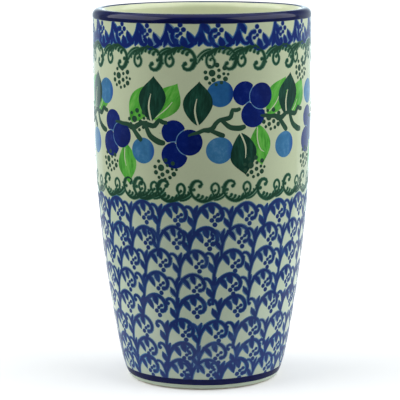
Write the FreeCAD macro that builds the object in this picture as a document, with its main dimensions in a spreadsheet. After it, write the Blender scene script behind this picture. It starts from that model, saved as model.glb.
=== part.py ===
import FreeCAD, Part
import Sketcher
import os
import re

# Tall stoneware tumbler: one fired clay body and the glaze coats fused to it.
#
# Every piece is a body of revolution about +Z.  The origin is the centre of the foot ring, on the table.
# The wall is equally thick all the way up, so each face of a coat is the outside line moved in by an inset.

DIMENSIONS = {
    "full_height": 142.0,        # table to the crest of the lip
    "mouth_radius": 41.4,        # outside, on the straight upper wall
    "wall_width": 4.7,           # clay with both glaze coats
    "glaze_width": 0.35,         # one fired coat
    "belly_start": 106.0,        # the wall is straight above this height
    "belly_arc": 480.0,          # radius of the long taper
    "taper_angle": 11.65,        # slope of the wall in degrees where the taper meets the heel
    "heel_arc": 35.0,            # radius of the turn-in above the foot
    "floor_height": 8.5,         # glazed floor of the drink space
    "floor_corner": 9.0,         # radius between the floor and the inner wall
    "foot_outer": 27.6,          # outer edge of the flat foot ring
    "foot_inner": 24.2,          # inner wall of the foot ring
    "foot_round": 0.6,           # inner edge of the foot ring
    "foot_turn": 0.9,            # outer edge of the foot ring
    "recess_height": 2.6,        # the glazed underside stands this far off the table
    "recess_corner": 0.8,        # glaze pooled where the underside meets the foot ring
    "glaze_line": 0.6,           # the outside coat stops here and leaves the foot bare
    "foot_band_low": 2.1,        # painted band above the foot
    "foot_band_high": 4.7,
    "rim_band_low": 138.6,       # painted band over the lip, outside edge
    "rim_band_end": 40.0,        # where it ends on the inside of the lip, in degrees above level
}

BELLY_X = "(mouth_radius - belly_arc)"
HEEL_X = f"({BELLY_X} + (belly_arc - heel_arc) * cos(taper_angle * 1deg))"
HEEL_Z = "(belly_start - (belly_arc - heel_arc) * sin(taper_angle * 1deg))"
LIP_X = "(mouth_radius - wall_width / 2)"
LIP_Z = "(full_height - wall_width / 2)"
CORNER_SINE = "((belly_start - floor_height - floor_corner) / (belly_arc - wall_width - floor_corner))"
CORNER_X = f"({BELLY_X} + (belly_arc - wall_width - floor_corner) * sqrt(1 - {CORNER_SINE}^2))"
CLAY_BACK = "(wall_width - glaze_width)"
COAT = "glaze_width"

document = FreeCAD.newDocument("StonewareTumbler")
sheet = document.addObject("Spreadsheet::Sheet", "Dimensions")


def fill_sheet():
    """Put each driving dimension in its own row: the word, and the number that carries the alias."""
    for row, (word, number) in enumerate(DIMENSIONS.items(), start=1):
        sheet.set(f"A{row}", word)
        sheet.set(f"B{row}", str(number))
        sheet.setAlias(f"B{row}", word)
    document.recompute()


def bound(formula):
    """Turn a formula in the sheet's words into an expression that reads the sheet's cells."""
    words = "|".join(sorted(DIMENSIONS, key=len, reverse=True))
    return re.sub(rf"\b({words})\b", r"Dimensions.\1", str(formula))


def number_of(formula):
    """The present value of a formula."""
    value = sheet.evalExpression(bound(formula))
    return float(getattr(value, "Value", value))


def on_belly(inset, sine="sin(taper_angle * 1deg)"):
    """A point of the long taper, moved in by inset, where the wall's lean has that sine."""
    radius = f"(belly_arc - {inset})"
    return (f"{BELLY_X} + {radius} * sqrt(1 - ({sine})^2)", f"belly_start - {radius} * ({sine})")


def on_heel(inset, height):
    """A point of the turn-in above the foot, moved in by inset, at a height."""
    return (f"{HEEL_X} + sqrt((heel_arc - {inset})^2 - ({height} - {HEEL_Z})^2)", height)


def on_lip(inset, angle):
    """A point of the round lip, moved in by inset, at an angle above level on the drinker's side."""
    radius = f"(wall_width / 2 - {inset})"
    return (f"{LIP_X} - {radius} * cos({angle})", f"{LIP_Z} + {radius} * sin({angle})")


def arc_edge(start, end, radius, side):
    """The shorter arc of a radius from start to end; its centre is on the left for side 1, right for -1."""
    chord = end - start
    height = (radius ** 2 - (chord.Length / 2) ** 2) ** 0.5
    across = FreeCAD.Vector(-chord.y, chord.x, 0) / chord.Length
    centre = (start + end) / 2 + across * (side * height)
    middle = centre + ((start + end) / 2 - centre).normalize() * radius
    return Part.Arc(start, middle, end)


def add_outline(sketch, steps):
    """Draw a closed outline and bind it to the sheet.

    Each step is (x, z) for a straight run to the next point, or (x, z, radius, side) for an arc to it.
    Every corner's place and every arc's radius is a constraint with its own expression.
    """
    corners = [FreeCAD.Vector(number_of(step[0]), number_of(step[1]), 0) for step in steps]
    count = len(steps)
    for index, step in enumerate(steps):
        start = corners[index]
        end = corners[(index + 1) % count]
        if len(step) == 4:
            sketch.addGeometry(arc_edge(start, end, number_of(step[2]), step[3]), False)
        else:
            sketch.addGeometry(Part.LineSegment(start, end), False)
    turned = [len(step) == 4 and step[3] < 0 for step in steps]
    first = [2 if flip else 1 for flip in turned]
    last = [1 if flip else 2 for flip in turned]
    for index in range(count):
        following = (index + 1) % count
        sketch.addConstraint(
            Sketcher.Constraint("Coincident", index, last[index], following, first[following])
        )
    for index, step in enumerate(steps):
        for kind, formula in (("DistanceX", step[0]), ("DistanceY", step[1])):
            add_size(sketch, kind, (index, first[index]), formula)
        if len(step) == 4:
            add_size(sketch, "Radius", (index,), step[2])


def add_size(sketch, kind, place, formula):
    """Add one sizing constraint and bind it to the sheet.  A corner on an axis is tied to that axis."""
    value = number_of(formula)
    if kind != "Radius" and formula == "0":
        axis = -2 if kind == "DistanceX" else -1
        sketch.addConstraint(Sketcher.Constraint("PointOnObject", *place, axis))
        return
    index = sketch.addConstraint(Sketcher.Constraint(kind, *place, value))
    sketch.setExpression(f"Constraints[{index}]", bound(formula))


def turned_body(name, outline):
    """A piece of revolution: its half section stands on the XZ plane and turns about +Z."""
    body = document.addObject("PartDesign::Body", name)
    body.Label = name
    body.Placement = FreeCAD.Placement()
    sketch = body.newObject("Sketcher::SketchObject", f"{name}_section")
    planes = [item for item in body.Origin.OriginFeatures if item.Role == "XZ_Plane"]
    sketch.AttachmentSupport = [(planes[0], "")]
    sketch.MapMode = "FlatFace"
    document.recompute()
    add_outline(sketch, outline)
    turning = body.newObject("PartDesign::Revolution", f"{name}_turning")
    turning.Profile = sketch
    turning.ReferenceAxis = (sketch, ["V_Axis"])
    turning.Angle = 360.0
    body.Tip = turning
    document.recompute()
    return body


def stoneware_body():
    """The fired clay: foot ring, floor, tapered wall and round lip, everywhere one coat inside the skin."""
    ring_top = "recess_height + glaze_width"
    inner_wall = f"belly_arc - {CLAY_BACK}"
    return turned_body("stoneware_body", [
        ("0", ring_top),
        ("foot_inner", ring_top),
        ("foot_inner", "foot_round", "foot_round", 1),
        ("foot_inner + foot_round", "0"),
        ("foot_outer", "0", "foot_turn", 1),
        (*on_heel(COAT, "foot_round"), f"heel_arc - {COAT}", 1),
        (*on_belly(COAT), f"belly_arc - {COAT}", 1),
        (f"mouth_radius - {COAT}", "belly_start"),
        (f"mouth_radius - {COAT}", LIP_Z, f"wall_width / 2 - {COAT}", 1),
        (LIP_X, f"full_height - {COAT}", f"wall_width / 2 - {COAT}", 1),
        (f"mouth_radius - {CLAY_BACK}", LIP_Z),
        (f"mouth_radius - {CLAY_BACK}", "belly_start", inner_wall, -1),
        (*on_belly(CLAY_BACK, CORNER_SINE), f"floor_corner + {COAT}", -1),
        (CORNER_X, f"floor_height - {COAT}"),
        ("0", f"floor_height - {COAT}"),
    ])


def inside_glaze():
    """The cream coat of the drink space, from the painted lip down the wall and across the floor."""
    end = "rim_band_end * 1deg"
    return turned_body("inside_glaze", [
        ("0", f"floor_height - {COAT}"),
        (CORNER_X, f"floor_height - {COAT}", f"floor_corner + {COAT}", 1),
        (*on_belly(CLAY_BACK, CORNER_SINE), f"belly_arc - {CLAY_BACK}", 1),
        (f"mouth_radius - {CLAY_BACK}", "belly_start"),
        (f"mouth_radius - {CLAY_BACK}", LIP_Z, f"wall_width / 2 - {COAT}", -1),
        on_lip(COAT, end),
        (*on_lip("0", end), "wall_width / 2", 1),
        ("mouth_radius - wall_width", LIP_Z),
        ("mouth_radius - wall_width", "belly_start", "belly_arc - wall_width", -1),
        (*on_belly("wall_width", CORNER_SINE), "floor_corner", -1),
        (CORNER_X, "floor_height"),
        ("0", "floor_height"),
    ])


def outside_glaze():
    """The cream coat that carries the decoration, between the foot band and the rim band."""
    return turned_body("outside_glaze", [
        (*on_heel(COAT, "foot_band_high"), f"heel_arc - {COAT}", 1),
        (*on_belly(COAT), f"belly_arc - {COAT}", 1),
        (f"mouth_radius - {COAT}", "belly_start"),
        (f"mouth_radius - {COAT}", "rim_band_low"),
        ("mouth_radius", "rim_band_low"),
        ("mouth_radius", "belly_start", "belly_arc", -1),
        (*on_belly("0"), "heel_arc", -1),
        on_heel("0", "foot_band_high"),
    ])


def heel_coat(low, high):
    """The outline of one coat on the turn-in above the foot, between two heights."""
    return [
        (*on_heel("glaze_width", low), "heel_arc - glaze_width", 1),
        on_heel("glaze_width", high),
        (*on_heel("0", high), "heel_arc", -1),
        on_heel("0", low),
    ]


def rim_band():
    """The cobalt band: down the outside below the lip, over its crest and just onto the drinker's side."""
    end = "rim_band_end * 1deg"
    return turned_body("rim_band", [
        (f"mouth_radius - {COAT}", "rim_band_low"),
        (f"mouth_radius - {COAT}", LIP_Z, f"wall_width / 2 - {COAT}", 1),
        (LIP_X, f"full_height - {COAT}", f"wall_width / 2 - {COAT}", 1),
        on_lip(COAT, end),
        (*on_lip("0", end), "wall_width / 2", -1),
        (LIP_X, "full_height", "wall_width / 2", -1),
        ("mouth_radius", LIP_Z),
        ("mouth_radius", "rim_band_low"),
    ])


def foot_band():
    """The cobalt band painted round the heel."""
    return turned_body("foot_band", heel_coat("foot_band_low", "foot_band_high"))


def heel_glaze():
    """The narrow strip of cream coat between the foot band and the bare foot."""
    return turned_body("heel_glaze", heel_coat("glaze_line", "foot_band_low"))


def underside_glaze():
    """The cream coat of the recess inside the foot ring."""
    return turned_body("underside_glaze", [
        ("0", "recess_height"),
        ("foot_inner - recess_corner", "recess_height", "recess_corner", -1),
        ("foot_inner", "recess_height - recess_corner"),
        ("foot_inner", "recess_height + glaze_width"),
        ("0", "recess_height + glaze_width"),
    ])


def check_and_write(bodies):
    """Stop on any object that failed or any shape that isn't a sound solid, then write one file a piece."""
    document.recompute()
    for item in document.Objects:
        if "Invalid" in item.State or "Error" in item.State:
            raise RuntimeError(f"{item.Name} did not compute: {item.State}")
    os.makedirs("parts", exist_ok=True)
    for body in bodies:
        shape = body.Shape
        if shape.isNull() or not shape.isValid() or shape.Volume <= 0:
            raise RuntimeError(f"{body.Label} is not a sound solid")
        box = shape.optimalBoundingBox(True, False)
        print(f"{body.Label}: {shape.Volume:.1f} mm3, {len(shape.Solids)} solids, "
              f"z {box.ZMin:.3f} to {box.ZMax:.3f}, x {box.XMin:.3f} to {box.XMax:.3f}")
        shape.exportStep(f"parts/{body.Label}.step")


fill_sheet()
check_and_write([
    stoneware_body(),
    inside_glaze(),
    outside_glaze(),
    rim_band(),
    foot_band(),
    heel_glaze(),
    underside_glaze(),
])
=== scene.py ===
import math

import bpy
import numpy as np
from bpy.props import FloatProperty, FloatVectorProperty, IntProperty, PointerProperty
from mathutils import Matrix, Vector


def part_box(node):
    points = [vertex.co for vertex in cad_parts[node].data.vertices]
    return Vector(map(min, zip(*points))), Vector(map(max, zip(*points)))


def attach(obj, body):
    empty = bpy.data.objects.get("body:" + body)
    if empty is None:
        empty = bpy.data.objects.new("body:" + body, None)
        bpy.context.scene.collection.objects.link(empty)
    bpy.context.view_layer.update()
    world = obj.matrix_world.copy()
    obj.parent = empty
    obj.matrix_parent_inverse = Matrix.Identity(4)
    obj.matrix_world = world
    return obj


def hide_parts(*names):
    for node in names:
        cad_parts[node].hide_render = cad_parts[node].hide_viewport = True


bl_info = {
    "name": "Stamped Stoneware Mug",
    "version": (1, 0, 0),
    "blender": (4, 5, 0),
    "location": "3D View > Sidebar > Mug",
    "description": "Builds the coats and the stamped decoration of a tall mug round its CAD model",
    "category": "Add Mesh",
}

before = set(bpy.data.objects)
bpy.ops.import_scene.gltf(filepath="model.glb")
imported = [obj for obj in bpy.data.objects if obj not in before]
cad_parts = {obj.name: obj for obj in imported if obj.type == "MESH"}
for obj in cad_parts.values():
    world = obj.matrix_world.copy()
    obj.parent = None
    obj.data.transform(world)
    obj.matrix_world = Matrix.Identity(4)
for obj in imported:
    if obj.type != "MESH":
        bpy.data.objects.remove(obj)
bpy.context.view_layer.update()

MM = 0.001
ROOT = "root"
SEED = 11
FINE = 288                          # points round every turned piece


def top_of(node):
    """Highest height of a CAD node, in millimetres."""
    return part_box(node)[1].z / MM


def foot_of(node):
    """Lowest height of a CAD node, in millimetres."""
    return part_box(node)[0].z / MM


# ---------------------------------------------------------------- sizes and colours a user would change

def length(label, text, millimetres):
    """A length property whose default is given in millimetres."""
    return FloatProperty(name=label, description=text, default=millimetres * MM, min=0.0,
                         precision=5, unit="LENGTH", subtype="DISTANCE")


def colour(label, text, red, green, blue):
    """A colour property: linear red, green and blue."""
    return FloatVectorProperty(name=label, description=text, default=(red, green, blue, 1.0), size=4,
                               min=0.0, max=1.0, subtype="COLOR")


class MugSizes(bpy.types.PropertyGroup):
    """Sizes of the turned body, the same as in the CAD model."""
    height: length("Height", "From the table to the crest of the lip", top_of("rim_band"))
    mouth: length("Mouth radius", "Outside radius of the straight upper wall",
                  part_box("outside_glaze")[1].x / MM)
    wall: length("Wall", "Thickness of the clay with both coats", 4.7)
    coat: length("Coat", "Thickness of one fired coat", 0.35)
    belly_start: length("Belly start", "The wall is straight above this height", 106.0)
    belly_arc: length("Belly radius", "Radius of the long taper", 480.0)
    taper: FloatProperty(name="Taper", description="Lean of the wall where the taper meets the heel",
                         default=math.radians(11.65), unit="ROTATION", subtype="ANGLE")
    heel_arc: length("Heel radius", "Radius of the turn-in above the foot", 35.0)
    floor: length("Floor", "Height of the glazed floor inside", foot_of("inside_glaze") + 0.35)
    corner: length("Floor corner", "Radius between the floor and the inner wall", 9.0)
    unevenness: length("Unevenness", "How far the hand-made wall strays from a true circle", 0.09)


class MugColours(bpy.types.PropertyGroup):
    """Linear colours of the clay, the glaze and the pigments under it."""
    clay: colour("Bare clay", "Unglazed stoneware of the foot", 0.50, 0.42, 0.31)
    cream: colour("Cream glaze", "Clear glaze over the pale clay", 0.62, 0.68, 0.45)
    warm: colour("Warm cream", "Cream glaze where it is tinged by the clay", 0.78, 0.74, 0.55)
    # Darkened, this colour is also the painted shade low on the outside coat.
    haze_and_painted_low_shade: colour("Cobalt haze", "Cream glaze where the cobalt field has tinted it", 0.60, 0.69, 0.545)
    iron: colour("Iron speck", "Specks that the clay bleeds into the glaze", 0.16, 0.12, 0.07)
    navy: colour("Navy band", "Thick cobalt of the rim and foot bands", 0.004, 0.006, 0.048)
    stamp: colour("Stamp blue", "Cobalt printed by the sponge stamps", 0.020, 0.039, 0.166)
    stamp_edge: colour("Stamp edge", "Watery edge of the stamped field", 0.05, 0.18, 0.34)
    rim_edge: colour("Rim row edge", "Watery edge of the row under the lip", 0.04, 0.16, 0.36)
    garland: colour("Garland green", "Dark green of the garlands", 0.017, 0.064, 0.036)
    garland_edge: colour("Garland edge", "Watery edge of the garlands", 0.07, 0.21, 0.13)
    twig: colour("Twig green", "Dark green of the twigs and seed heads", 0.026, 0.075, 0.045)
    twig_edge: colour("Twig edge", "Thin edge of the twigs and seed heads", 0.06, 0.16, 0.09)
    berry: colour("Cobalt berry", "Cobalt of the berry trios", 0.002, 0.014, 0.16)
    berry_edge: colour("Cobalt berry edge", "Thin rim of a cobalt berry", 0.03, 0.06, 0.28)
    berry_dab: colour("Cobalt berry dab", "Second dab on a cobalt berry", 0.002, 0.006, 0.07)
    wash: colour("Berry wash", "Pale blue under the berry trios", 0.12, 0.27, 0.46)
    wash_edge: colour("Berry wash edge", "Edge of the pale blue under the trios", 0.20, 0.36, 0.50)
    sky: colour("Sky berry", "Thin blue of the single berries", 0.048, 0.195, 0.39)
    sky_edge: colour("Sky berry edge", "Thin rim of a single berry", 0.16, 0.36, 0.58)
    sky_dab: colour("Sky berry dab", "Second dab on a single berry", 0.02, 0.09, 0.36)
    deep_sky: colour("Deep sky berry", "Stronger blue of the top berries", 0.022, 0.13, 0.34)
    deep_sky_dab: colour("Deep sky berry dab", "Second dab on a top berry", 0.006, 0.04, 0.24)
    leaf: colour("Light leaf", "Fresh green of the light leaves", 0.095, 0.45, 0.05)
    leaf_streak: colour("Light leaf streak", "Thin brush streaks of the light leaves", 0.20, 0.55, 0.10)
    pine: colour("Dark leaf", "Black-green of the dark leaves", 0.010, 0.050, 0.032)


class MugPattern(bpy.types.PropertyGroup):
    """How the stamped rows run round the wall."""
    rim_prints: IntProperty(name="Rim prints", description="Stamps in the row under the lip",
                            default=20, min=1)
    upper_prints: IntProperty(name="Upper garland prints", description="Stamps in the upper garland",
                              default=19, min=1)
    lower_prints: IntProperty(name="Lower garland prints", description="Stamps in the lower garland",
                              default=20, min=1)
    proud: length("Pigment height", "How far the pigment stands proud under the glaze", 0.03)


def sizes():
    """The body's sizes in millimetres, as plain numbers."""
    group = bpy.context.scene.mug_sizes
    names = ("height", "mouth", "wall", "coat", "belly_start", "belly_arc", "heel_arc", "floor", "corner",
             "unevenness")
    values = {name: getattr(group, name) / MM for name in names}
    values["taper"] = group.taper
    return values


# ---------------------------------------------------------------- the wall as a surface of two parameters

def wall_radius(height):
    """Outside radius at a height: straight, then an arc of the belly radius, then an arc of the heel radius.

    Each arc is r = centre + sqrt(R^2 - (height - centre height)^2), and they meet with the same lean.
    """
    s = sizes()
    belly_x = s["mouth"] - s["belly_arc"]
    reach = s["belly_arc"] - s["heel_arc"]
    heel_x = belly_x + reach * math.cos(s["taper"])
    heel_z = s["belly_start"] - reach * math.sin(s["taper"])
    join = s["belly_start"] - s["belly_arc"] * math.sin(s["taper"])
    belly = belly_x + np.sqrt(np.maximum(s["belly_arc"] ** 2 - (height - s["belly_start"]) ** 2, 0.0))
    heel = heel_x + np.sqrt(np.maximum(s["heel_arc"] ** 2 - (height - heel_z) ** 2, 0.0))
    radius = np.where(height > s["belly_start"], s["mouth"], belly)
    return np.where(height < join, heel, radius)


def unevenness(bearing, height):
    """Slow waves round the wall: a sum of three sines, strongest at mid height and gone at lip and foot."""
    s = sizes()
    fade = np.sin(np.pi * np.clip(height / s["height"], 0.0, 1.0))
    waves = (np.sin(2.0 * bearing + 0.6 + 0.012 * height)
             + 0.5 * np.sin(3.0 * bearing - 1.1 + 0.021 * height)
             + 0.12 * np.sin(5.0 * bearing + 0.11 * height))
    return s["unevenness"] * fade * waves


def wall_point(bearing, height, lift=0.0):
    """A point of the wall, in millimetres: bearing turns from the front to the right, lift stands outwards.

    x = r sin(bearing), y = -r cos(bearing), z = height, with r the uneven outside radius plus lift.
    """
    radius = wall_radius(height) + unevenness(bearing, height) + lift
    return np.stack([radius * np.sin(bearing), -radius * np.cos(bearing), height + 0.0 * radius], -1)


def wall_normal(bearing, height):
    """Outward unit normal of the wall: the cross product of its two small differences."""
    step = 0.01
    around = wall_point(bearing + step / 40.0, height) - wall_point(bearing - step / 40.0, height)
    along = wall_point(bearing, height + step) - wall_point(bearing, height - step)
    normal = np.cross(around, along)
    return normal / np.linalg.norm(normal, axis=-1, keepdims=True)


# ---------------------------------------------------------------- meshes

def new_piece(name, points, faces, material, nodes=(), normals=None, marks=None):
    """Make a mesh object from whole arrays in millimetres, hang it on the root body and hide the CAD nodes
    it stands for.

    marks are named point attributes: one number a point, or three for a vector.
    """
    mesh = bpy.data.meshes.new(name)
    rows = [row for block in faces for row in block.tolist()]
    mesh.from_pydata((points * MM).tolist(), [], rows)
    for mark, values in (marks or {}).items():
        if values.ndim == 1:
            mesh.attributes.new(mark, "FLOAT", "POINT").data.foreach_set("value", values.astype(np.float32))
        else:
            layer = mesh.attributes.new(mark, "FLOAT_VECTOR", "POINT")
            layer.data.foreach_set("vector", values.astype(np.float32).ravel())
    mesh.shade_smooth()
    if normals is not None:
        mesh.normals_split_custom_set_from_vertices(normals.tolist())
    mesh.materials.append(material)
    mesh.update()
    piece = bpy.data.objects.new(name, mesh)
    bpy.context.scene.collection.objects.link(piece)
    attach(piece, ROOT)
    if nodes:
        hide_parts(*nodes)


def grid_faces(rows, columns, close_rows=False, close_columns=False):
    """Quads of a grid of points stored row by row, turned so that columns x rows points outwards."""
    row = np.arange(rows if close_rows else rows - 1)
    column = np.arange(columns if close_columns else columns - 1)
    i, j = np.meshgrid(row, column, indexing="ij")
    k = (i + 1) % rows
    m = (j + 1) % columns
    return np.stack([i * columns + j, i * columns + m, k * columns + m, k * columns + j], -1).reshape(-1, 4)


def turned(section):
    """A closed section of (radius, height) carried round the axis; returns points and faces.

    The point at bearing b is (r sin b, -r cos b, z), with the wall's unevenness added to r, less near the
    axis.  Radii of zero at the two ends close on the axis.
    """
    radius, height = section.T
    bearing = np.linspace(0.0, 2.0 * math.pi, FINE, endpoint=False)
    r, b = np.meshgrid(radius, bearing, indexing="ij")
    z = np.broadcast_to(height[:, None], r.shape)
    r = r + unevenness(b, z) * np.clip(r / 5.0, 0.0, 1.0)
    points = np.stack([r * np.sin(b), -r * np.cos(b), z], -1)
    if radius[0] > 0.0:
        return points.reshape(-1, 3), [grid_faces(len(radius), FINE, True, True)]
    inner = points[1:-1].reshape(-1, 3)
    count = len(inner)
    ends = np.array([[0.0, 0.0, height[0]], [0.0, 0.0, height[-1]]])
    ring = np.arange(FINE)
    following = (ring + 1) % FINE
    first = np.stack([np.full(FINE, count), following, ring], -1)
    last_row = count - FINE
    last = np.stack([np.full(FINE, count + 1), last_row + ring, last_row + following], -1)
    return np.concatenate([inner, ends]), [grid_faces(len(radius) - 2, FINE, False, True), first, last]


def arc(centre, radius, start, end, count):
    """Points (r, z) of a circle's arc between two angles in degrees, measured from the level outwards."""
    angle = np.radians(np.linspace(start, end, count))
    return np.stack([centre[0] + radius * np.cos(angle), centre[1] + radius * np.sin(angle)], -1)


# ---------------------------------------------------------------- painted shapes on the flat, in millimetres
#
# A shape is a dictionary of whole arrays: "at" (across, up), "lift" (share of the pigment's height),
# "ink" (0 at an edge to 1 where the pigment is thick) and "faces".

SUNK = -0.22                        # lift of an edge, which dips into the glaze
THIN = 0.6                          # lift of a thin wash
BERRY_RINGS = (0.3, 0.6, 0.82, 0.91, 0.96, 1.0)


def join(shapes):
    """Put several shapes into one, with their faces counted on."""
    start = np.cumsum([0] + [len(shape["at"]) for shape in shapes])
    faces = [block + start[k] for k, shape in enumerate(shapes) for block in shape["faces"]]
    quads = [block for block in faces if block.shape[1] == 4]
    threes = [block for block in faces if block.shape[1] == 3]
    joined = {key: np.concatenate([shape[key] for shape in shapes]) for key in ("at", "lift", "ink")}
    joined["faces"] = [np.concatenate(group) for group in (quads, threes) if group]
    return joined


def moved(shape, across, up):
    """The same shape, set down at a place."""
    return dict(shape, at=shape["at"] + np.array([across, up]))


def smooth_path(points, share):
    """Points of a smooth curve through given points, at shares of its length from 0 to 1.

    Each span is a cubic whose end slopes are the slopes between its neighbours.
    """
    points = np.asarray(points, float)
    run = np.concatenate([[0.0], np.cumsum(np.linalg.norm(np.diff(points[:, :2], axis=0), axis=1))])
    run /= run[-1]
    slope = np.gradient(points, run, axis=0)
    k = np.clip(np.searchsorted(run, share, side="right") - 1, 0, len(points) - 2)
    width = (run[k + 1] - run[k])[:, None]
    f = ((share - run[k]) / width[:, 0])[:, None]
    return ((2 * f ** 3 - 3 * f ** 2 + 1) * points[k] + (f ** 3 - 2 * f ** 2 + f) * width * slope[k]
            + (3 * f ** 2 - 2 * f ** 3) * points[k + 1] + (f ** 3 - f ** 2) * width * slope[k + 1])


def stroke(points, steps=12, flat=False, weight=1.0):
    """A brush stroke: a low ridge carried along a smooth path, with round ends.

    points are (across, up, half width).  Across the stroke the surface rises from the sunken edges to a
    crest, or, if flat, to two shoulders; the half width runs out as a quarter circle at each end.
    """
    points = np.asarray(points, float) * [1.0, 1.0, weight]
    widths = points[:, 2]

    def carried_on(end, before, width):
        """The path's end, moved on by most of its half width."""
        ahead = (end - before)[:2]
        return np.append(end[:2] + ahead / np.linalg.norm(ahead) * width * 0.8, end[2])

    first = carried_on(points[0], points[1], widths[0])
    last = carried_on(points[-1], points[-2], widths[-1])
    route = np.concatenate([first[None], points, last[None]])
    length = np.sum(np.linalg.norm(np.diff(route[:, :2], axis=0), axis=1))
    ends = np.array([0.0, 0.35, 1.1])
    near = ends * widths[0] / length
    far = 1.0 - ends[::-1] * widths[-1] / length
    share = np.concatenate([near, np.linspace(near[-1], far[0], steps)[1:-1], far])
    line = smooth_path(route, share)
    heading = np.gradient(line[:, :2], axis=0)
    heading /= np.linalg.norm(heading, axis=1, keepdims=True)
    left = np.stack([-heading[:, 1], heading[:, 0]], -1)
    run = share * length
    width = np.maximum(line[:, 2], 0.05)
    near = np.clip(run / width, 0.0, 1.0)
    far = np.clip((length - run) / width, 0.0, 1.0)
    width = (1.08 if flat else 1.22) * width
    width = width * np.sqrt(1.0 - (1.0 - near) ** 2) * np.sqrt(1.0 - (1.0 - far) ** 2)
    body = line[1:-1, :2]
    edge = left[1:-1] * width[1:-1, None]
    section = np.array([1.0, 0.78, -0.78, -1.0] if flat else [1.0, 0.0, -1.0])
    rise = np.where(np.abs(section) < 1.0, 1.0, 0.0)
    rows = len(body)
    columns = len(section)
    at = np.concatenate([(body[:, None] + section[None, :, None] * edge[:, None]).reshape(-1, 2),
                         line[[0, -1], :2]])
    ink = np.concatenate([np.tile(rise, rows), [0.0, 0.0]])
    lift = SUNK + (1.0 - SUNK) * ink
    tip = np.full(columns, rows * columns)
    end_row = (rows - 1) * columns
    j = np.arange(columns)
    following = (j + 1) % columns
    caps = np.concatenate([np.stack([tip, following, j], -1),
                           np.stack([tip + 1, end_row + j, end_row + following], -1)])
    return {"at": at, "lift": lift, "ink": ink,
            "faces": [grid_faces(rows, columns, False, True), caps]}


def disc(radius, spokes=12, rings=(0.68, 1.0), bites=(), wave=0.0):
    """A dab of pigment: a polar grid whose rim is sunk, flat on top.

    The rim is at radius(angle), cut back to where a ray from the centre first meets each bite, which is a
    circle (across, up, radius).  wave adds a slow wander to the rim.
    """
    angle = np.linspace(0.0, 2.0 * math.pi, spokes, endpoint=False)
    reach = radius * (1.0 + wave * np.sin(2.0 * angle + 0.8) + 0.6 * wave * np.sin(3.0 * angle - 1.0))
    for across, up, bite in bites:
        distance = math.hypot(across, up)
        along = distance * np.cos(angle - math.atan2(up, across))
        inside = bite ** 2 - (distance ** 2 - along ** 2)
        meets = (inside > 0.0) & (along > 0.0)
        reach = np.where(meets, np.minimum(reach, along - np.sqrt(np.maximum(inside, 0.0))), reach)
    ring = np.asarray(rings)
    spread = ring[:, None] * reach[None, :]
    at = np.stack([spread * np.cos(angle), spread * np.sin(angle)], -1).reshape(-1, 2)
    edge = np.clip((1.0 - ring) / max(1.0 - rings[-2], 1e-6), 0.0, 1.0)
    lift = np.repeat(SUNK + (1.0 - SUNK) * edge, spokes)
    ink = np.repeat(edge, spokes)
    count = len(at)
    centre = np.zeros((2, 2))
    k = np.arange(spokes)
    following = (k + 1) % spokes
    last = count - spokes
    threes = np.concatenate([np.stack([np.full(spokes, count), k, following], -1),
                             np.stack([np.full(spokes, count + 1), last + following, last + k], -1)])
    top = grid_faces(len(ring), spokes, False, True)[:, ::-1]
    return {"at": np.concatenate([at, centre]), "lift": np.concatenate([lift, [1.0, SUNK]]),
            "ink": np.concatenate([ink, [1.0, 0.0]]), "faces": [top, threes]}


def leaf(length, left, right, rows=20):
    """A leaf on its own axis, base at the origin and tip up.

    A side's half width at share s of the length is W sin(pi s^p)^(0.72 + 0.5 s), with p set so that the
    left side is widest lower than the right; the growing power draws the tip out to a point.
    """
    s = 0.5 - 0.5 * np.cos(np.pi * np.linspace(0.0, 1.0, rows + 2)[1:-1])
    wide_left = left * np.sin(np.pi * s ** 0.94) ** (0.72 + 0.5 * s)
    wide_right = right * np.sin(np.pi * s ** 1.10) ** (0.72 + 0.5 * s)
    share = np.array([-1.0, -0.95, -0.8, -0.5, 0.0, 0.5, 0.8, 0.95, 1.0])
    wide = np.where(share[None, :] < 0.0, wide_left[:, None], wide_right[:, None])
    across = share[None, :] * wide
    up = np.broadcast_to((s * length)[:, None], across.shape)
    thick = np.ones(across.shape)
    thick[:, [0, -1]] = 0.0
    columns = across.shape[1]
    at = np.concatenate([np.stack([across, up], -1).reshape(-1, 2), [[0.0, 0.0], [0.0, length]]])
    lift = np.concatenate([(SUNK + (1.0 - SUNK) * thick).ravel(), [SUNK, SUNK]])
    ink = np.concatenate([thick.ravel(), [0.0, 0.0]])
    top = grid_faces(rows, columns)
    i = columns * np.arange(rows - 1)
    under = np.stack([i, i + columns, i + 2 * columns - 1, i + columns - 1], -1)
    base = rows * columns
    j = np.arange(columns - 1)
    z = (rows - 1) * columns
    caps = np.concatenate([np.stack([np.full(columns - 1, base), j + 1, j], -1),
                           np.stack([np.full(columns - 1, base + 1), z + j, z + j + 1], -1),
                           [[base, 0, columns - 1], [base + 1, z + columns - 1, z]]])
    return {"at": at, "lift": lift, "ink": ink, "faces": [top, under, caps]}


# ---------------------------------------------------------------- the stamps

def outlined(lines, dots=()):
    """Strokes and dabs, each over a slightly wider thin wash of the same pigment that shows as a pale edge.

    lines are (points, steps, weight) and dots are (across, up, radius); the wash keeps a small share of the
    ink and lies lower.
    """
    spokes = 10
    line_spread = [0.0, 0.0, 0.24]
    dot_spread = 0.16
    wash_ink = 0.10
    full = [stroke(points, steps, weight=weight) for points, steps, weight in lines]
    full += [moved(disc(radius, spokes), across, up) for across, up, radius in dots]
    wash = [stroke(np.array(points) * [1.0, 1.0, weight] + line_spread, steps, True)
            for points, steps, weight in lines]
    wash += [moved(disc(radius + dot_spread, spokes), across, up) for across, up, radius in dots]
    for shape in wash:
        shape["ink"] = wash_ink * shape["ink"]
        shape["lift"] = np.minimum(shape["lift"], THIN)
    return join(full + wash)


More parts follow.
